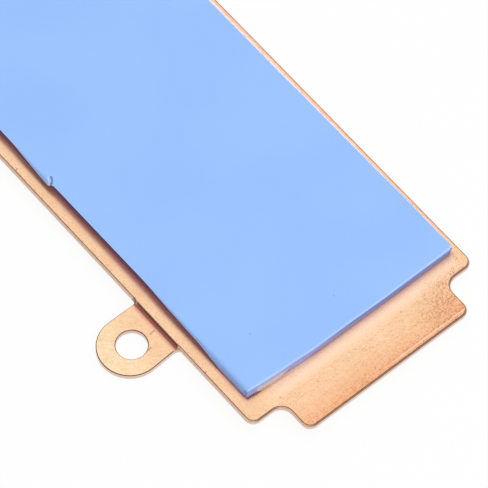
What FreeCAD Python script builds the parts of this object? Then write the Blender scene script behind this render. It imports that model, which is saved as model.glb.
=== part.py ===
import FreeCAD, Part
import math
import os

# SSD heatsink: a stamped copper cover sheet with one screw ear, carrying a soft
# thermal pad that is still covered by its release film.
# Millimetres. The origin is the centre of the ear's screw hole, halfway through
# the sheet; +X runs along the module towards the tongue, +Y across the plate
# away from the ear, +Z out of the pad's face.

Vector = FreeCAD.Vector

# copper sheet
sheet_t = 0.5
plate_width = 24.0
overall_length = 80.0
corner_r = 0.85
edge_roll = 0.2

# tongue at the near end, stepped in from both sides of the plate
tongue_length = 3.3
tongue_ear_step = 3.3
tongue_far_step = 3.15
notch_r = 1.1

# screw ear, set one sheet thickness below the plate
hole_d = 2.7
hole_to_near_flank = 2.83
hole_to_far_flank = 2.88
hole_to_ear_end = 3.0
hole_to_plate_edge = 2.67
hole_to_shoulder = 12.31
near_flank_deg = 3.5
ear_roll = 0.09
root_near_r = 0.45
root_far_r = 0.15

# bend between the plate and the ear: its upper face is set a little into the
# plate's edge, and its section laps the plate by a short length
step_inset = 0.1
step_lean = 0.05
step_neck = 0.5
step_top_r = 0.06
step_inner_r = 0.3
step_outer_r = 0.3
step_lap = 1.2

# thermal pad, laid by hand inside the plate's edges and so turned a little
pad_t = 0.85
pad_corner_r = 0.4
pad_edge_r = 0.12
pad_turn_deg = 0.33
pad_near_gap = 1.8
pad_far_gap = 4.9
pad_ear_gap = 1.55
pad_side_gap = 0.75

# release film, cut a little larger than the pad
film_t = 0.05
film_overhang = 0.08

# heights and outline positions that follow from the sizes above
ear_top = sheet_t / 2
ear_bottom = -sheet_t / 2
plate_bottom = ear_top
plate_top = plate_bottom + sheet_t
pad_top = plate_top + pad_t
shoulder_x = hole_to_shoulder
tongue_x = shoulder_x + tongue_length
far_x = tongue_x - overall_length
near_y = hole_to_plate_edge
wide_y = near_y + plate_width
tongue_near_y = near_y + tongue_ear_step
tongue_far_y = wide_y - tongue_far_step
pad_near_x = shoulder_x - pad_near_gap
pad_near_y = near_y + pad_ear_gap
pad_length = pad_near_x - pad_far_gap - far_x
pad_width = plate_width - pad_ear_gap - pad_side_gap


def outline(corners, place):
    """Closed wire through (u, v, radius) corners, each rounded by its radius."""
    stops = []
    count = len(corners)
    for index in range(count):
        u, v, radius = corners[index]
        here = Vector(u, v, 0)
        before = Vector(corners[index - 1][0], corners[index - 1][1], 0)
        after = Vector(corners[(index + 1) % count][0], corners[(index + 1) % count][1], 0)
        if radius == 0:
            stops.append((here, None, here))
            continue
        back = (before - here).normalize()
        ahead = (after - here).normalize()
        half_angle = back.getAngle(ahead) / 2
        reach = radius / math.tan(half_angle)
        inward = (back + ahead).normalize()
        nearest = here + inward * (radius / math.sin(half_angle) - radius)
        stops.append((here + back * reach, nearest, here + ahead * reach))
    edges = []
    for index in range(count):
        start, middle, end = stops[index]
        if middle is not None:
            edges.append(Part.Arc(place(start), place(middle), place(end)).toShape())
        next_start = stops[(index + 1) % count][0]
        if end.distanceToPoint(next_start) > 1e-6:
            edges.append(Part.makeLine(place(end), place(next_start)))
    return Part.Wire(edges)


def at_height(level):
    """Places an outline flat, at one height."""
    return lambda point: Vector(point.x, point.y, level)


def across(station):
    """Places a section upright across the sheet, at one station along X."""
    return lambda point: Vector(station, point.x, point.y)


def lengthwise(station):
    """Places a section upright along the sheet, at one station along Y."""
    return lambda point: Vector(point.x, station, point.y)


def edges_at(solid, level):
    """Edges of a solid that lie wholly at one height."""
    found = []
    for edge in solid.Edges:
        if abs(edge.BoundBox.ZMin - level) < 1e-4 and abs(edge.BoundBox.ZMax - level) < 1e-4:
            found.append(edge)
    return found


# flat plate with its tongue, top edges rolled by the blanking die
plate_corners = [
    (far_x, near_y, corner_r),
    (shoulder_x, near_y, corner_r),
    (shoulder_x, tongue_near_y, notch_r),
    (tongue_x, tongue_near_y, corner_r),
    (tongue_x, tongue_far_y, corner_r),
    (shoulder_x, tongue_far_y, notch_r),
    (shoulder_x, wide_y, corner_r),
    (far_x, wide_y, corner_r),
]
plate_face = Part.Face(outline(plate_corners, at_height(plate_bottom)))
plate = plate_face.extrude(Vector(0, 0, sheet_t))
plate = plate.makeFillet(edge_roll, edges_at(plate, plate_top))

# ear in plan: a round lobe with a straight far flank and a near flank that draws
# in a little towards the plate
near_lean = math.radians(near_flank_deg)
near_neck_x = hole_to_near_flank - near_y * math.tan(near_lean)
near_lobe_x = hole_to_near_flank + hole_to_ear_end * math.tan(near_lean)
near_reach_share = 1 / math.tan((math.pi / 2 - near_lean) / 2)
lobe_r = (near_lobe_x + hole_to_far_flank) / (1 + near_reach_share)
near_reach = root_near_r * near_reach_share
near_root_x = near_neck_x + near_reach
far_root_x = -hole_to_far_flank - root_far_r
lap_y = near_y + step_lap
lobe_corners = [
    (near_root_x, lap_y, 0),
    (near_root_x, near_y, 0),
    (near_neck_x, near_y, root_near_r),
    (near_lobe_x, -hole_to_ear_end, lobe_r),
    (-hole_to_far_flank, -hole_to_ear_end, lobe_r),
    (-hole_to_far_flank, near_y, root_far_r),
    (far_root_x, near_y, 0),
    (far_root_x, lap_y, 0),
]
lobe_face = Part.Face(outline(lobe_corners, at_height(ear_bottom)))

# the stepped section of the sheet, swept along X and trimmed to the lobe's plan
ear_end_y = -hole_to_ear_end - sheet_t
step_y = near_y + step_inset
section_corners = [
    (lap_y, plate_top, 0),
    (step_y, plate_top, step_top_r),
    (step_y - step_lean, ear_top, step_inner_r),
    (ear_end_y, ear_top, 0),
    (ear_end_y, ear_bottom, 0),
    (near_y + step_neck - step_lean, ear_bottom, step_outer_r),
    (near_y + step_neck, plate_bottom, 0),
    (lap_y, plate_bottom, 0),
]
section_face = Part.Face(outline(section_corners, across(far_root_x)))
stepped = section_face.extrude(Vector(near_root_x - far_root_x, 0, 0))
ear = stepped.common(lobe_face.extrude(Vector(0, 0, 2 * sheet_t)))

# the rim's roll runs round the lobe, along both flanks and up the step
lobe_rim = [edge for edge in edges_at(ear, ear_top) if edge.BoundBox.YMin < 0]
ear = ear.makeFillet(ear_roll, lobe_rim)

# the roots thin out upwards until they meet the underside of the plate
roots = [
    (1, near_neck_x, near_reach, near_lean),
    (-1, hole_to_far_flank, root_far_r, 0),
]
for side, neck_x, reach, lean in roots:
    start_x = neck_x + reach * math.sin(lean)
    start_y = near_y - reach * math.cos(lean)
    wedge_corners = [
        (side * start_x, ear_bottom, 0),
        (side * (start_x + reach), plate_bottom, 0),
        (side * (start_x + reach + sheet_t), plate_bottom, 0),
        (side * (start_x + reach + sheet_t), ear_bottom - sheet_t, 0),
        (side * start_x, ear_bottom - sheet_t, 0),
    ]
    wedge_face = Part.Face(outline(wedge_corners, lengthwise(start_y)))
    along_flank = Vector(-side * math.tan(lean), 1, 0) * (lap_y - start_y)
    ear = ear.cut(wedge_face.extrude(along_flank))

# beside the neck the plate keeps its own rolled edge
for start_x, end_x in ((near_neck_x, near_root_x), (far_root_x, -hole_to_far_flank)):
    beside = Part.makeBox(end_x - start_x, step_lap, sheet_t, Vector(start_x, near_y, plate_bottom))
    ear = ear.cut(beside)

# screw hole, pierced from above and so rolled at its upper rim
hole = Part.makeCylinder(hole_d / 2, 2 * sheet_t, Vector(0, 0, -sheet_t))
ear = ear.cut(hole)
hole_rim = [edge for edge in edges_at(ear, ear_top) if edge.isClosed()]
ear = ear.makeFillet(ear_roll, hole_rim)

# the plate gives way to the bend over the neck's width
neck_width = near_neck_x + hole_to_far_flank
bend_slot = Part.makeBox(neck_width, step_lap, sheet_t, Vector(-hole_to_far_flank, near_y, plate_bottom))
copper_plate = plate.cut(bend_slot).fuse(ear).removeSplitter()

# thermal pad, soft edged, turned about its near corner on the ear's side
pad_corners = [
    (pad_near_x - pad_length, pad_near_y, pad_corner_r),
    (pad_near_x, pad_near_y, pad_corner_r),
    (pad_near_x, pad_near_y + pad_width, pad_corner_r),
    (pad_near_x - pad_length, pad_near_y + pad_width, pad_corner_r),
]
pad_face = Part.Face(outline(pad_corners, at_height(plate_top)))
thermal_pad = pad_face.extrude(Vector(0, 0, pad_t))
thermal_pad = thermal_pad.makeFillet(pad_edge_r, edges_at(thermal_pad, pad_top))

# release film lying on the pad, proud of it at the near end and the far side
film_corners = [
    (pad_near_x - pad_length, pad_near_y, pad_corner_r),
    (pad_near_x + film_overhang, pad_near_y, pad_corner_r),
    (pad_near_x + film_overhang, pad_near_y + pad_width + film_overhang, pad_corner_r),
    (pad_near_x - pad_length, pad_near_y + pad_width + film_overhang, pad_corner_r),
]
film_face = Part.Face(outline(film_corners, at_height(pad_top)))
release_film = film_face.extrude(Vector(0, 0, film_t))

turn_centre = Vector(pad_near_x, pad_near_y, 0)
thermal_pad.rotate(turn_centre, Vector(0, 0, 1), pad_turn_deg)
release_film.rotate(turn_centre, Vector(0, 0, 1), pad_turn_deg)

os.makedirs("parts", exist_ok=True)
copper_plate.exportStep("parts/copper_plate.step")
thermal_pad.exportStep("parts/thermal_pad.step")
release_film.exportStep("parts/release_film.step")
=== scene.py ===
import math

import bpy
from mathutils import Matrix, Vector


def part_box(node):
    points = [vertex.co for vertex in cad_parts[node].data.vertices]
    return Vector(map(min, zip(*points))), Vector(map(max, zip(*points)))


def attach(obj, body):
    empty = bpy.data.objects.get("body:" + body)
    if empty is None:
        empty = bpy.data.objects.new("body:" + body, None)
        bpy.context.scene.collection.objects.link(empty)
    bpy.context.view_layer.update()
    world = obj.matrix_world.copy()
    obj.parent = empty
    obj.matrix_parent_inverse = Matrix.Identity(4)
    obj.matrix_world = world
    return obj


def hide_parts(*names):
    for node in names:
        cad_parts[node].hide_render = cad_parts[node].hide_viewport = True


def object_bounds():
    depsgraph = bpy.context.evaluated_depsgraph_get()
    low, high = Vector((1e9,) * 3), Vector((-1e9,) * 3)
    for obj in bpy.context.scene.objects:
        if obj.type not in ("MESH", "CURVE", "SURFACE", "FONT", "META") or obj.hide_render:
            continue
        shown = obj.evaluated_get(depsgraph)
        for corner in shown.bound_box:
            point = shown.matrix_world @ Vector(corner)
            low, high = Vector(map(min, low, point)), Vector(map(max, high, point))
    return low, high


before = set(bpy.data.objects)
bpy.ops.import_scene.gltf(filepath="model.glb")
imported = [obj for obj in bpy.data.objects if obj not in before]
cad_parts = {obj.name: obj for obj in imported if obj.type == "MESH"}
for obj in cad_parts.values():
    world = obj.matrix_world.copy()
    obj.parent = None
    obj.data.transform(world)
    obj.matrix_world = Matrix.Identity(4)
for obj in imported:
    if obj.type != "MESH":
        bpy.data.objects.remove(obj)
cad_low, cad_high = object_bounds()


# The sheet is blanked and formed from half-millimetre copper strip in one press tool.
# Its faces keep the bright mill finish, its cut edges are rough and pale, and the
# tongue is rubbed and speckled where the tool held it.
class Socket:
    """One shader socket, so that a finish is written as plain arithmetic."""

    def __init__(self, tree, socket=None):
        self.tree = tree
        self.socket = socket

    def node(self, kind, settings, links, output=0):
        """Adds a node, gives it its settings, then its values and links."""
        made = self.tree.nodes.new("ShaderNode" + kind)
        for name, value in settings.items():
            setattr(made, name, value)
        for name, value in links.items():
            if isinstance(value, Socket):
                self.tree.links.new(value.socket, made.inputs[name])
            else:
                made.inputs[name].default_value = value
        return Socket(self.tree, made.outputs[output] if made.outputs else None)

    def sum(self, operation, first, second):
        return self.node("Math", {"operation": operation}, {0: first, 1: second})

    def __add__(self, other):
        return self.sum("ADD", self, other)

    def __radd__(self, other):
        return self.sum("ADD", other, self)

    def __sub__(self, other):
        return self.sum("SUBTRACT", self, other)

    def __rsub__(self, other):
        return self.sum("SUBTRACT", other, self)

    def __mul__(self, other):
        return self.sum("MULTIPLY", self, other)

    def __rmul__(self, other):
        return self.sum("MULTIPLY", other, self)

    def __truediv__(self, other):
        return self.sum("DIVIDE", self, other)

    def __abs__(self):
        return self.sum("ABSOLUTE", self, 0.0)

    def least(self, other):
        return self.sum("MINIMUM", self, other)

    def most(self, other):
        return self.sum("MAXIMUM", self, other)

    def step(self, start, end):
        """0 below start and 1 above end, eased between them."""
        settings = {"interpolation_type": "SMOOTHSTEP"}
        return self.node("MapRange", settings, {"Value": self, "From Min": start, "From Max": end})

    def fall(self, start, end):
        """1 below start and 0 above end, eased between them."""
        return 1.0 - self.step(start, end)

    def within(self, rise_start, rise_end, fall_start, fall_end):
        """1 between a rise and a fall, each eased, and 0 beyond them."""
        return self.step(rise_start, rise_end) * self.fall(fall_start, fall_end)

    def along(self, axis):
        """A vector's part along one axis: 0 for X, 1 for Y and 2 for Z."""
        return self.node("SeparateXYZ", {}, {0: self}, axis)

    def tint(self, under, over):
        """Mixes two colours by this value."""
        settings = {"data_type": "RGBA"}
        return self.node("Mix", settings, {0: self, 6: under, 7: over}, 2)


def new_material(name):
    """An empty material, and a socket to start its nodes from."""
    material = bpy.data.materials.new(name)
    material.use_nodes = True
    material.node_tree.nodes.clear()
    return material, Socket(material.node_tree)


def paint(red, green, blue, level=1.0):
    """A colour as it shows on a screen, 0 to 255, in the linear form that shaders take."""
    parts = []
    for part in (red, green, blue):
        share = part / 255
        linear = share / 12.92 if share <= 0.04045 else ((share + 0.055) / 1.055) ** 2.4
        parts.append(linear * level)
    return (parts[0], parts[1], parts[2], 1.0)


def in_millimetres(start):
    """The place on a piece, in millimetres."""
    place = start.node("TexCoord", {}, {}, "Object")
    return start.node("Mapping", {}, {"Vector": place, "Scale": (1000, 1000, 1000)})


def noise(place, scale, detail=2.0, roughness=0.5):
    """Soft noise, about 0 to 1, with so many lumps to the millimetre."""
    links = {"Vector": place, "Scale": scale, "Detail": detail, "Roughness": roughness}
    return place.node("TexNoise", {}, links)


def spot(x, y, place, radius):
    """1 inside a small round spot at a place in millimetres, 0 outside it."""
    off_x = x - place[0]
    off_y = y - place[1]
    return (off_x * off_x + off_y * off_y).fall(0.3 * radius ** 2, radius ** 2)


def spots(x, y, places, radius):
    """Several small round spots of one size."""
    found = 0.0
    for place in places:
        found = found + spot(x, y, place, radius)
    return found


def oval(x, y, centre, reach, core):
    """1 in the core of an oval patch, eased to 0 at its reach along X and Y."""
    off_x = (x - centre[0]) / reach[0]
    off_y = (y - centre[1]) / reach[1]
    return (off_x * off_x + off_y * off_y).fall(core, 1.0)


class CopperSheet:
    """The sheet's textures, and its places that differ in tone: each is 1 inside and 0
    outside, with its limits in millimetres from the screw hole."""

    def __init__(self, start):
        self.place = in_millimetres(start)
        self.x = self.place.along(0)
        self.y = self.place.along(1)
        self.height_up = self.place.along(2)
        self.normal = start.node("NewGeometry", {}, {}, "Normal")
        self.upright = abs(self.normal.along(2))
        self.mottle = noise(self.place, 2.2, 3.0)
        self.grain = noise(self.place, 9.0, 3.0, 0.65)
        self.speckle = noise(self.place, 9.0, 4.0, 0.75)
        self.pad_side = self.height_up.step(0.45, 0.6)
        self.find_ear()
        self.find_strips()
        self.find_wear()
        self.find_edges()

    def find_ear(self):
        """The ear, its paler low part and its bend."""
        self.ear = self.y.fall(1.2, 2.6)
        self.ear_low = self.y.fall(-1.6, 2.2) * (0.6 + 0.4 * self.mottle.step(0.4, 0.6))
        self.bend = abs(self.x).fall(2.65, 2.75) * self.y.within(2.15, 2.5, 2.74, 2.8)

    def find_strips(self):
        """Bare copper close beside the pad: at its near end and along both its sides."""
        beside_pad = self.x.within(9.4, 10.2, 10.75, 11.5) * self.y.within(4.6, 7.0, 25.6, 26.4)
        self.beside_pad = beside_pad * self.pad_side
        under_ear_wall = self.y.within(3.45, 3.95, 5.0, 6.0) * self.x.fall(9.6, 10.8)
        self.under_ear_wall = under_ear_wall * self.pad_side
        self.far_strip = self.y.step(25.7, 26.0) * self.x.fall(8.0, 9.6) * self.pad_side

    def find_wear(self):
        """The rubbed tongue, and the dark specks that are thickest on worn copper."""
        self.end_band = self.x.step(14.3, 15.4)
        rubbed = oval(self.x, self.y, (13.9, 23.2), (3.1, 4.1), 0.15)
        tongue = self.x.step(12.0, 15.4) * self.y.step(8.5, 14.0)
        self.worn = (rubbed + tongue * 0.45).least(1.0) * self.pad_side
        self.reddest = oval(self.x, self.y, (14.0, 23.0), (2.0, 2.4), 0.1) * self.pad_side
        edge_band = self.y.within(2.5, 2.7, 2.8, 3.6)
        far_corner = spot(self.x, self.y, (11.4, 25.7), 1.9)
        busy = self.worn * 0.75 + self.end_band * 0.5 + edge_band * 0.4 + self.far_strip * 0.5
        busy = busy + self.reddest * 0.4 + far_corner * 0.45
        busy = (busy + self.x.step(9.0, 11.5) * 0.12 + 0.14).least(1.0)
        self.dark_specks = self.speckle.step(0.555, 0.62) * busy

    def find_edges(self):
        """The upright cut faces, the rolled rim and the painted dark lines of reflection and shade along
        it.
        """
        to_tongue = self.normal.along(0).step(0.2, 0.6)
        to_ear = (0.0 - self.normal.along(1)).step(0.2, 0.6)
        upper_line = self.upright.within(0.78, 0.88, 0.95, 0.995)
        lower_line = self.upright.within(0.04, 0.14, 0.32, 0.5)
        self.rolled = self.upright.within(0.04, 0.14, 0.9, 0.995)
        wide_line = self.rolled * self.upright.fall(0.7, 0.9) * to_tongue * 0.85
        rim = (upper_line + lower_line + wide_line + self.rolled * self.ear).least(1.0)
        self.rim = rim * (1.0 - self.bend)
        # The rim's painted shade is weaker on edges that face the ear's side, away from the ear.
        crisp = (1.0 - to_ear * (1.0 - self.ear)).least(1.0)
        self.rim_shade_depth = (0.2 + 0.6 * crisp + 0.3 * self.grain).least(0.95)
        self.cut_face = self.upright.fall(0.15, 0.45) * (1.0 - self.bend)


def mill_tones(sheet):
    """The bright rolled face, paler on the ear, with slanting ripples there and on the tongue."""
    cloud = noise(sheet.place, 0.35, 2.0)
    slant = (0, 0, math.radians(-50))
    turned = sheet.place.node("Mapping", {}, {"Vector": sheet.place, "Rotation": slant})
    drawn_out = turned.node("Mapping", {}, {"Vector": turned, "Scale": (1.6, 6.0, 1.0)})
    ripples = noise(drawn_out, 1.0, 4.0, 0.65)
    rippled = sheet.x.step(11.0, 12.6).most(sheet.ear) * 0.3
    colour = cloud.step(0.35, 0.65).tint(paint(236, 194, 155), paint(240, 200, 163))
    colour = (sheet.ear * 0.5).tint(colour, paint(230, 190, 150))
    colour = (sheet.ear_low * 0.85).tint(colour, paint(240, 220, 182))
    colour = (sheet.grain.step(0.5, 0.62) * 0.34).tint(colour, paint(222, 168, 124))
    colour = (ripples.step(0.52, 0.66) * rippled).tint(colour, paint(212, 154, 108))
    return (ripples.fall(0.34, 0.46) * rippled).tint(colour, paint(250, 222, 186))


def tones_beside_pad(sheet, colour):
    """Copper close round the pad: painted reflection of the pad, warm and rosy, by its near end and
    along its ear's side, a painted contact shade at the base of its near end, and pale pink and a
    mottled blush along its far side.
    """
    # Painted reflection of the pad's lit near end: warm, rosy copper beside it.
    painted_pad_reflection = sheet.x.within(9.4, 10.2, 11.3, 12.3) * sheet.y.within(4.6, 7.0, 25.0, 26.0)
    colour = (painted_pad_reflection * sheet.pad_side * 0.85).tint(colour, paint(255, 212, 184))
    # Painted contact shade on the copper in a thin line at the base of the pad's near end.
    painted_contact_shade = sheet.x.within(10.3, 10.42, 10.5, 10.72) * sheet.y.within(9.5, 11.5, 25.6, 26.2)
    colour = (painted_contact_shade * sheet.pad_side * 0.65).tint(colour, paint(178, 130, 150))
    # Painted reflection, rosy, of the pad's shaded ear-side wall in the copper beside it.
    colour = (sheet.under_ear_wall * 0.7).tint(colour, paint(232, 154, 150))
    far_pale = sheet.far_strip * sheet.y.fall(26.28, 26.38)
    colour = (far_pale * 0.75).tint(colour, paint(250, 222, 222))
    far_blush = sheet.far_strip * sheet.y.step(26.28, 26.38) * sheet.mottle.step(0.4, 0.56)
    return (far_blush * 0.7).tint(colour, paint(246, 182, 158))


def worn_tones(sheet, colour):
    """The redder, blotched and speckled copper of the tongue."""
    blotch = noise(sheet.place, 5.6, 3.0, 0.65)
    drawn_out = sheet.place.node("Mapping", {}, {"Vector": sheet.place, "Scale": (9.0, 0.5, 1.0)})
    streaks = noise(drawn_out, 1.0, 2.0)
    colour = (sheet.end_band * sheet.mottle.step(0.35, 0.6) * 0.6).tint(colour, paint(232, 164, 118))
    colour = (sheet.x.step(12.8, 14.4) * 0.4).tint(colour, paint(232, 168, 122))
    rosy_specks = blotch.step(0.5, 0.6) * sheet.end_band * sheet.pad_side
    colour = (rosy_specks * 0.5).tint(colour, paint(224, 132, 92))
    red_blotches = blotch.step(0.42, 0.62) * (sheet.worn * 0.35 + sheet.reddest * 0.4)
    colour = red_blotches.tint(colour, paint(216, 136, 92))
    dark_streaks = streaks.step(0.6, 0.7) * sheet.x.step(11.5, 12.5) * 0.25
    colour = dark_streaks.tint(colour, paint(190, 130, 92))
    return sheet.dark_specks.tint(colour, paint(156, 104, 66, 0.8))


def tool_marks(sheet, colour):
    """Pits, scratches and nicks at their places, and the lines the tool left on the tongue."""
    x = sheet.x
    y = sheet.y
    pits = ((12.05, 18.93), (12.41, 21.24), (12.19, 22.96), (12.32, 13.73), (12.64, 9.46), (11.82, 6.11))
    colour = (spots(x, y, pits, 0.12) * 0.35).tint(colour, paint(150, 100, 64))
    tool_line = abs(x - 15.02).fall(0.02, 0.08) * (0.35 + 0.65 * y.step(13.0, 18.0))
    inner_line = abs(x - 13.55).fall(0.02, 0.08) * y.step(20.5, 21.5) * 0.6
    dotted = (tool_line + inner_line).least(1.0) * sheet.speckle.step(0.48, 0.56)
    colour = (dotted * 0.6).tint(colour, paint(160, 100, 64))
    beside_line = abs(x - 15.22).fall(0.04, 0.1) * y.step(12.0, 18.0)
    colour = (beside_line * 0.4).tint(colour, paint(255, 226, 204))
    scratches = ((0.2, 1.84), (0.17, 2.03), (0.15, 2.22), (1.28, 0.6), (1.26, 0.78), (1.24, 0.98))
    scratched = spots(x, y, scratches, 0.11).least(1.0)
    colour = (scratched * 0.55).tint(colour, paint(140, 88, 60))
    nicks = ((-11.95, 2.75), (-19.01, 2.99), (-10.34, 2.69), (6.11, 2.87), (9.71, 25.27))
    return (spots(x, y, nicks, 0.12) * 0.5).tint(colour, paint(110, 68, 48))


def edge_tones(sheet, colour):
    """The pale cut faces, the rim's painted dark lines of reflection and shade with a painted highlight
    between them, and the painted shade in the bend of the ear.
    """
    # Painted highlight on the roll between the rim's lines, then the painted dark reflection and shade
    # of the lines themselves.
    rim_painted_highlight = sheet.rolled * (1.0 - sheet.rim)
    colour = (rim_painted_highlight * 0.7).tint(colour, paint(252, 214, 192))
    colour = (sheet.rim * sheet.rim_shade_depth).tint(colour, paint(100, 60, 42))
    # Painted shade in the ear's bend: near black-red by the plate's level, rosy lower down towards the
    # ear.
    bend_painted_shade = sheet.height_up.step(0.3, 0.6).tint(paint(214, 136, 124), paint(76, 38, 38))
    colour = (sheet.bend * 0.85).tint(colour, bend_painted_shade)
    colour = sheet.cut_face.tint(colour, paint(230, 197, 178))
    far_root = spot(sheet.x, sheet.y, (-2.96, 2.6), 0.3)
    return (far_root * 0.7).tint(colour, paint(140, 86, 68))


def copper_finish():
    """Bright rolled copper with pale cut edges and a rubbed tongue."""
    material, start = new_material("copper")
    sheet = CopperSheet(start)
    colour = mill_tones(sheet)
    colour = tones_beside_pad(sheet, colour)
    colour = worn_tones(sheet, colour)
    colour = tool_marks(sheet, colour)
    colour = edge_tones(sheet, colour)
    satin = 0.26 + 0.1 * sheet.mottle + 0.16 * sheet.worn * sheet.grain
    roughness = satin + 0.15 * sheet.rim + 0.05 * sheet.cut_face - 0.08 * sheet.beside_pad
    dull_rim = sheet.rolled * (1.0 - sheet.bend)
    metal = 0.88 - 0.72 * sheet.beside_pad - 0.25 * sheet.under_ear_wall - 0.62 * dull_rim
    metal = metal.most(0.16)
    height = sheet.grain * 0.5 + sheet.mottle * 0.35 + sheet.dark_specks * -0.5
    links = {"Height": height, "Distance": 0.0000035, "Strength": 0.6}
    bump = start.node("Bump", {}, links)
    links = {"Base Color": colour, "Metallic": metal, "Roughness": roughness, "Normal": bump}
    surface = start.node("BsdfPrincipled", {}, links)
    start.node("OutputMaterial", {}, {"Surface": surface})
    return material


copper_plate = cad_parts["copper_plate"]
copper_plate.material_slots[0].material = copper_finish()


# The pad is a slab of soft filled silicone, sliced from a roll and laid on the copper
# by hand, so it lies a third of a degree askew. Its own tack holds it, its top edges
# are a little rounded and its cut sides wander.
pad_turn = math.radians(0.33)
pad_low, pad_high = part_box("thermal_pad")
pad_spread = pad_high - pad_low
turned_share = math.cos(2 * pad_turn)
pad_length = pad_spread.x * math.cos(pad_turn) - pad_spread.y * math.sin(pad_turn)
pad_length = pad_length / turned_share
pad_width = pad_spread.y * math.cos(pad_turn) - pad_spread.x * math.sin(pad_turn)
pad_width = pad_width / turned_share
pad_height = pad_spread.z
pad_corner = Vector((pad_high.x, pad_high.y - pad_width * math.cos(pad_turn), pad_low.z))
pad_corner_round = 0.0004
pad_top_round = 0.00012
pad_side_cuts = 7
pad_side_wander = 0.00003
pad_side_ripple = 0.00001
pressed_length = 0.002


def on_pad(back, across, up):
    """A place measured back from the pad's near end, across from the ear's side, and up."""
    turned_x = -back * math.cos(pad_turn) - across * math.sin(pad_turn)
    turned_y = -back * math.sin(pad_turn) + across * math.cos(pad_turn)
    return pad_corner + Vector((turned_x, turned_y, up))


def stations(length, coarse, fine, rim):
    """Distances along a side, close together within a rim at both ends."""
    found = [0.0]
    while found[-1] < length - fine / 2:
        to_end = min(found[-1], length - found[-1])
        pace = fine + (coarse - fine) * min(1.0, to_end / rim)
        found.append(min(length, found[-1] + pace))
    return found


def sheet_of(name, columns, rows):
    """A flat grid of so many columns and rows, one unit across; place_in_grid finds each vertex's column
    and row from where it lies.
    """
    bpy.ops.object.select_all(action="DESELECT")
    bpy.ops.mesh.primitive_grid_add(x_subdivisions=columns - 1, y_subdivisions=rows - 1, size=1)
    sheet = bpy.context.active_object
    sheet.name = name
    return sheet


def place_in_grid(vertex, columns, rows):
    """The column and row of a grid's vertex before it is moved."""
    column = round((vertex.co.x + 0.5) * (columns - 1))
    row = round((vertex.co.y + 0.5) * (rows - 1))
    return column, row


def wander(distance, wave, phase):
    """A slow, uneven swing between -1 and 1 along a side."""
    turn = 2 * math.pi * distance / wave
    return 0.6 * math.sin(turn + phase) + 0.4 * math.sin(2.3 * turn + 1.7 * phase)


def eased(value, start, end):
    """0 at start and 1 at end, eased between them."""
    share = min(1.0, max(0.0, (value - start) / (end - start)))
    return share * share * (3 - 2 * share)


def rounded_corner(back, across, radius):
    """Moves a place near one of the pad's corners so that the corner is round."""
    centre_back = min(max(back, radius), pad_length - radius)
    centre_across = min(max(across, radius), pad_width - radius)
    off_back = back - centre_back
    off_across = across - centre_across
    reach = math.hypot(off_back, off_across)
    if reach > 0:
        share = max(abs(off_back), abs(off_across)) / reach
        back = centre_back + off_back * share
        across = centre_across + off_across * share
    return back, across


def dented(back, across, rise):
    """Draws a place near the pad's end back where its near corner was pressed in, most at
    the top, where the rise is 1, and lets it swell beyond the middle."""
    depth = 0.00046 + 0.00014 * rise
    width = 0.0048 + 0.0017 * rise
    dent = depth * max(0.0, 1 - across / width)
    swell = 0.00008 * eased(across, 0.0095, 0.0145)
    return back + (dent - swell) * max(0.0, 1 - back / pressed_length)


def make_pad():
    """The slab: a grid drawn down to the plate, its rim softened and its sides uneven."""
    along = stations(pad_length, coarse=0.0012, fine=0.00015, rim=0.003)
    over = stations(pad_width, coarse=0.0012, fine=0.00015, rim=0.003)
    pad = sheet_of("silicone_pad", len(along), len(over))
    for vertex in pad.data.vertices:
        column, row = place_in_grid(vertex, len(along), len(over))
        vertex.co = (along[column], over[row], 0)
    bpy.ops.object.mode_set(mode="EDIT")
    bpy.ops.mesh.select_all(action="SELECT")
    bpy.ops.mesh.extrude_region_move(TRANSFORM_OT_translate={"value": (0, 0, pad_height)})
    bpy.ops.mesh.select_all(action="SELECT")
    bpy.ops.mesh.normals_make_consistent(inside=False)
    bpy.ops.mesh.select_mode(type="EDGE")
    bpy.ops.mesh.select_all(action="DESELECT")
    bpy.ops.object.mode_set(mode="OBJECT")
    points = pad.data.vertices
    for edge in pad.data.edges:
        ends = [points[number].co for number in edge.vertices]
        edge.select = abs(ends[0].z - ends[1].z) > pad_height / 2
    bpy.ops.object.mode_set(mode="EDIT")
    bpy.ops.mesh.subdivide(number_cuts=pad_side_cuts)
    bpy.ops.object.mode_set(mode="OBJECT")
    for vertex in pad.data.vertices:
        back, across, up = vertex.co
        edge_gap = min(back, across, pad_length - back, pad_width - across)
        back, across = rounded_corner(back, across, pad_corner_round)
        pull = 0.0
        if edge_gap < 0.000001:
            high = max(0.0, (up - pad_height + pad_top_round) / pad_top_round)
            pull = pad_top_round * (1 - math.sqrt(1 - min(1.0, high) ** 2))
            drift = 1 + wander(back + across, wave=0.009, phase=0.4)
            pull += pad_side_wander * drift * up / pad_height
            pull += pad_side_ripple * wander(back - across, wave=0.0017, phase=up * 4000)
        back += pull * (1 if back < pad_length / 2 else -1)
        across += pull * (1 if across < pad_width / 2 else -1)
        vertex.co = on_pad(dented(back, across, up / pad_height), across, up)
    bpy.ops.object.shade_smooth()
    return pad


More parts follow.
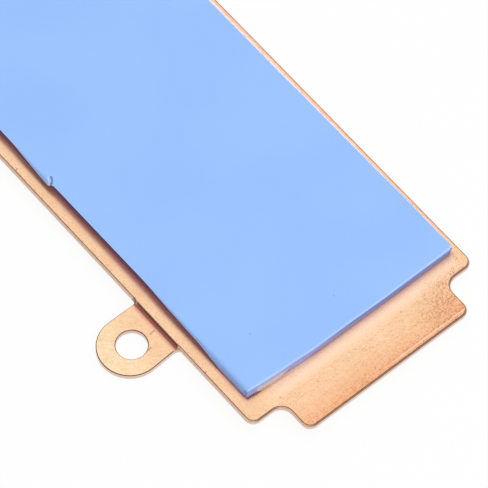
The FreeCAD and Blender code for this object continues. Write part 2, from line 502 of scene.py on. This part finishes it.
def pad_finish():
    """Matt filled silicone with fine grains of filler, with painted shade: darker over its far half,
    warm and darker low on its near end, and dark purple on the wall facing the ear's side.
    """
    material, start = new_material("silicone")
    place = in_millimetres(start)
    filler = noise(place, 14.0, 3.0, 0.7)
    drift = noise(place, 1.3, 2.0)
    colour = filler.step(0.3, 0.7).tint(paint(152, 160, 216), paint(168, 176, 226))
    colour = (drift.step(0.4, 0.7) * 0.3).tint(colour, paint(160, 158, 210))
    # Painted shade: the pad is darker over its far half.
    colour = (place.along(1).step(14.0, 20.0) * 0.7).tint(colour, paint(116, 130, 190))
    height_up = place.along(2)
    normal = start.node("NewGeometry", {}, {}, "Normal")
    # Painted warm shade low on the pad's near-end wall, where the copper's reflected light and the
    # contact shade fall.
    low_end_painted_shade = height_up.fall(0.7, 1.35) * normal.along(0).step(0.3, 0.8)
    colour = (low_end_painted_shade * 0.5).tint(colour, paint(150, 128, 172))
    to_ear = (0.0 - normal.along(1)).step(0.4, 0.9)
    # Painted shade on the wall facing the ear's side: dark purple at the top, redder lower down where
    # the copper's reflected light falls.
    ear_wall_painted_shade = height_up.step(0.9, 1.4).tint(paint(136, 74, 96), paint(58, 36, 66))
    colour = (to_ear * 0.9).tint(colour, ear_wall_painted_shade)
    roughness = 0.62 + 0.25 * filler
    links = {"Height": filler + drift * 0.5, "Distance": 0.000006, "Strength": 0.7}
    bump = start.node("Bump", {}, links)
    links = {"Base Color": colour, "Roughness": roughness, "Normal": bump}
    surface = start.node("BsdfPrincipled", {}, links)
    start.node("OutputMaterial", {}, {"Surface": surface})
    return material


silicone_pad = make_pad()
silicone_pad.data.materials.append(pad_finish())
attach(silicone_pad, "root")
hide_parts("thermal_pad")


# A thin polyester release film keeps the pad clean until it is fitted, and only the
# pad's tack holds it. It is cut a little larger than the pad, so it stands proud along
# the far side and hangs down at the near end, its corner and a small torn tab.
film_thick = 0.00005
film_turn_over = 0.00012
film_lift = 0.000002
film_ripple = 0.000006
film_corner_round = 0.0001
ear_side_reach = 0.00003
tab_reach = 0.00036
tab_tear = 0.0262
far_reach = 0.00007
end_reach = 0.0004
flap_reach = 0.00056
end_hang = math.radians(75)
folds = 7
far_folds = 2


def ear_side_spare(back):
    """How far the film reaches past the pad on the ear's side."""
    near_corner = 0.00056 * eased(back, 0.007, 0.0026) + 0.00028 * eased(back, 0.0145, 0.006)
    tab = tab_reach * eased(back, 0.0325, tab_tear) ** 1.6 * eased(back, 0.02605, tab_tear)
    return ear_side_reach + near_corner + tab


def far_side_spare(back):
    """How far the film reaches past the pad on the far side."""
    bulge = 0.00006 * math.exp(-(((back - 0.007) / 0.0026) ** 2))
    return far_reach + bulge + 0.00002 * wander(back, wave=0.016, phase=2.0)


def near_end_flap(across):
    """1 where a flap of the film hangs from the pad's near end, 0 where it is cut flush."""
    return (0.55 + 0.45 * eased(across, 0.0007, 0.001)) * eased(across, 0.0044, 0.0022)


def turned_over(spare, angle):
    """Outward and downward reach of film bent over the pad's edge by an angle."""
    bend = film_turn_over * angle
    turned = min(spare, bend) / film_turn_over
    straight = max(0.0, spare - bend)
    outward = film_turn_over * math.sin(turned) + straight * math.cos(angle)
    downward = film_turn_over * (1 - math.cos(turned)) + straight * math.sin(angle)
    return outward, downward


def make_film():
    """The film: a grid laid on the pad, its spare edges bent over by their own weight."""
    inner_along = stations(pad_length, coarse=0.00045, fine=0.0002, rim=0.004)
    inner_over = stations(pad_width, coarse=0.0009, fine=0.0002, rim=0.003)
    columns = folds + len(inner_along)
    rows = folds + len(inner_over) + far_folds
    film = sheet_of("film_sheet", columns, rows)
    for vertex in film.data.vertices:
        column, row = place_in_grid(vertex, columns, rows)
        back = inner_along[max(0, column - folds)]
        across = inner_over[min(max(0, row - folds), len(inner_over) - 1)]
        end_share = max(0, folds - column) / folds
        ear_share = max(0, folds - row) / folds
        far_share = max(0, row - folds - len(inner_over) + 1) / far_folds
        end_spare = (end_reach + flap_reach * near_end_flap(across)) * end_share
        end_out, end_down = turned_over(end_spare, end_hang)
        ear_spare = ear_side_spare(back) * ear_share
        ear_hang = math.radians(66 + 9 * eased(back, 0.007, 0.003))
        ear_out, ear_down = turned_over(ear_spare, ear_hang)
        far_out = far_side_spare(back) * far_share
        ripple = film_ripple * wander(back + 0.4 * across, wave=0.011, phase=0.9)
        down = min(max(end_down, ear_down), pad_height - 0.00003)
        up = pad_height + film_lift + ripple - down
        corner = film_corner_round if across < pad_width / 2 else pad_corner_round
        back, across = rounded_corner(back, across, corner)
        hugging = 0.00014 * eased(across, 0.002, 0.006) * max(0.0, 1 - back / pressed_length)
        back = dented(back, across, 1.0) + hugging
        vertex.co = on_pad(back - end_out, across - ear_out + far_out, up)
    bpy.ops.object.mode_set(mode="EDIT")
    bpy.ops.mesh.select_all(action="SELECT")
    bpy.ops.mesh.normals_make_consistent(inside=False)
    bpy.ops.object.mode_set(mode="OBJECT")
    if film.data.polygons[0].normal.z < 0:
        film.data.flip_normals()
    thickness = film.modifiers.new("thickness", "SOLIDIFY")
    thickness.thickness = film_thick
    thickness.offset = 1
    bpy.ops.object.modifier_apply(modifier="thickness")
    bpy.ops.object.shade_smooth_by_angle(angle=math.radians(40))
    return film


def film_finish():
    """Light blue satin film, greyer where nothing backs it, with painted highlights at its near-end bend
    and the torn tab, painted shade over the pad's near end, down its ear's side and beside the tab, and
    the copper's glow painted into the hanging flap.
    """
    material, start = new_material("film")
    place = in_millimetres(start)
    drift = noise(place, 0.12, 1.0)
    haze = noise(place, 1.6, 3.0)
    dust = noise(place, 5.0, 2.0, 0.6)
    colour = drift.step(0.35, 0.65).tint(paint(149, 191, 254), paint(152, 194, 255))
    colour = (dust.step(0.72, 0.76) * 0.4).tint(colour, paint(120, 160, 220))
    x = place.along(0)
    y = place.along(1)
    height_up = place.along(2)
    to_end = start.node("NewGeometry", {}, {}, "Normal").along(0)
    # Painted highlight along the film's bend over the pad's near end.
    fold = to_end.within(0.12, 0.35, 0.6, 0.9) * height_up.step(1.5, 1.6)
    colour = (fold * 0.4).tint(colour, paint(204, 222, 255))
    over_end = x.step(9.6, 9.8) * height_up.fall(1.44, 1.61)
    # Painted shade on the film where it hangs over the pad's near end, darker towards the far side.
    end_painted_shade = y.step(9.0, 16.0).tint(paint(142, 146, 200), paint(92, 108, 176))
    colour = (over_end * 0.85).tint(colour, end_painted_shade)
    marks = ((7.69, 15.34), (6.07, 7.7), (-3.0, 3.99), (2.77, 3.93))
    colour = (spots(x, y, marks, 0.1) * 0.5).tint(colour, paint(112, 142, 190))
    # Painted highlight where the torn tab curls up, and a painted shadow beside it along the crease.
    curl = ((-16.26, 4.19), (-16.08, 4.1), (-15.92, 4.0), (-15.8, 3.9), (-15.69, 3.82))
    colour = spots(x, y, curl, 0.1).least(0.5).tint(colour, paint(224, 234, 255))
    crease = ((-16.12, 4.42), (-15.94, 4.36), (-15.78, 4.24), (-15.63, 4.08), (-15.54, 3.88))
    colour = spots(x, y, crease, 0.13).least(0.75).tint(colour, paint(70, 92, 140))
    past_corner = y.step(4.85, 5.05)
    end_flap = past_corner * y.fall(7.4, 8.6)
    flap_down = end_flap * height_up.fall(1.1, 1.6)
    skirt_down = (1.0 - past_corner) * height_up.fall(0.8, 1.45)
    # The flap clear of the pad is greyer, with the copper's glow painted in, pinker towards its lower
    # edge.
    flap_grey_and_glow = height_up.step(0.9, 1.4).tint(paint(230, 208, 204), paint(194, 188, 212))
    colour = flap_down.tint(colour, flap_grey_and_glow)
    # Painted shade on the skirt hanging down the ear's side: mauve towards its lower edge.
    skirt_painted_shade = height_up.step(0.85, 1.2).tint(paint(164, 138, 178), paint(132, 172, 252))
    colour = (skirt_down * 0.9).tint(colour, skirt_painted_shade)
    alpha = 1.0 - 0.7 * end_flap * height_up.fall(0.75, 1.3) - 0.1 * skirt_down
    roughness = 0.32 + 0.12 * haze
    links = {"Height": haze, "Distance": 0.000004, "Strength": 0.3}
    bump = start.node("Bump", {}, links)
    links = {"Base Color": colour, "Roughness": roughness, "Alpha": alpha, "Normal": bump}
    surface = start.node("BsdfPrincipled", {}, links)
    start.node("OutputMaterial", {}, {"Surface": surface})
    return material


release_film = make_film()
release_film.data.materials.append(film_finish())
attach(release_film, "root")
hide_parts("release_film")


# The part lies on a plain white table. The camera, mirrors and glass see it as an
# even white that keeps a part of the shadow; for every other ray it is white paint.
def floor_finish():
    """Even white to the camera and to mirrors, white paint to all other light."""
    material, start = new_material("table")
    painted = start.node("BsdfDiffuse", {}, {"Color": (0.95, 0.95, 0.95, 1)})
    glow = start.node("Emission", {}, {"Color": (1, 1, 1, 1), "Strength": 1.0})
    camera_ray = start.node("LightPath", {}, {}, "Is Camera Ray")
    glossy_ray = start.node("LightPath", {}, {}, "Is Glossy Ray")
    clear_ray = start.node("LightPath", {}, {}, "Is Transmission Ray")
    seen = (camera_ray + glossy_ray + clear_ray).least(1.0) * 0.9
    links = {0: seen, 1: painted, 2: glow}
    surface = start.node("MixShader", {}, links)
    start.node("OutputMaterial", {}, {"Surface": surface})
    return material


bpy.ops.object.select_all(action="DESELECT")
bpy.ops.mesh.primitive_plane_add(size=4.0, location=(0, 0, cad_low.z))
table_top = bpy.context.active_object
table_top.name = "table_top"
table_top.data.materials.append(floor_finish())


# Soft studio light: one wide panel behind and above, which the copper mirrors to the
# camera, one in front beyond the tongue, and a dim room all round.
def add_panel(name, toward, distance, width, height, brightness):
    """A soft box that faces the part from a direction, of an even brightness."""
    direction = Vector(toward).normalized()
    data = bpy.data.lights.new(name, "AREA")
    data.shape = "RECTANGLE"
    data.size = width
    data.size_y = height
    data.energy = brightness * math.pi * width * height
    panel = bpy.data.objects.new(name, data)
    panel.location = direction * distance
    panel.rotation_mode = "QUATERNION"
    panel.rotation_quaternion = direction.to_track_quat("Z", "Y")
    bpy.context.collection.objects.link(panel)


add_panel("back_panel", (-0.22, 0.66, 0.72), 1.0, 3.2, 1.7, 0.98)
add_panel("front_panel", (0.75, -0.28, 0.6), 1.0, 0.7, 1.3, 2.3)

room = bpy.data.worlds.new("room")
room.use_nodes = True
room.node_tree.nodes.clear()
sky = Socket(room.node_tree)
dim = sky.node("Background", {}, {"Color": (1, 1, 1, 1), "Strength": 0.28})
white = sky.node("Background", {}, {"Color": (1, 1, 1, 1), "Strength": 1.0})
direct = sky.node("LightPath", {}, {}, "Is Camera Ray")
shown = sky.node("MixShader", {}, {0: direct, 1: dim, 2: white})
sky.node("OutputWorld", {}, {"Surface": shown})
bpy.context.scene.world = room
bpy.context.scene.view_settings.view_transform = "Standard"


# The photograph was taken from a distance through a long lens, from the tongue's end
# on the ear's side, about sixty degrees above the table.
view_turn = math.radians(50.315)
view_rise = math.radians(60.305)
view_target = Vector((-0.001228, 0.013067, 0.00075))
view_distance = 0.41753
lens_length = 369.39
sensor_width = 36.0
back_x = math.sin(view_turn) * math.cos(view_rise)
back_y = -math.cos(view_turn) * math.cos(view_rise)
backward = Vector((back_x, back_y, math.sin(view_rise)))
camera_data = bpy.data.cameras.new("camera")
camera_data.lens = lens_length
camera_data.sensor_width = sensor_width
camera_data.clip_start = 0.01
camera_data.clip_end = 10.0
camera = bpy.data.objects.new("camera", camera_data)
camera.location = view_target + backward * view_distance
camera.rotation_mode = "QUATERNION"
camera.rotation_quaternion = backward.to_track_quat("Z", "Y")
bpy.context.collection.objects.link(camera)
bpy.context.scene.camera = camera
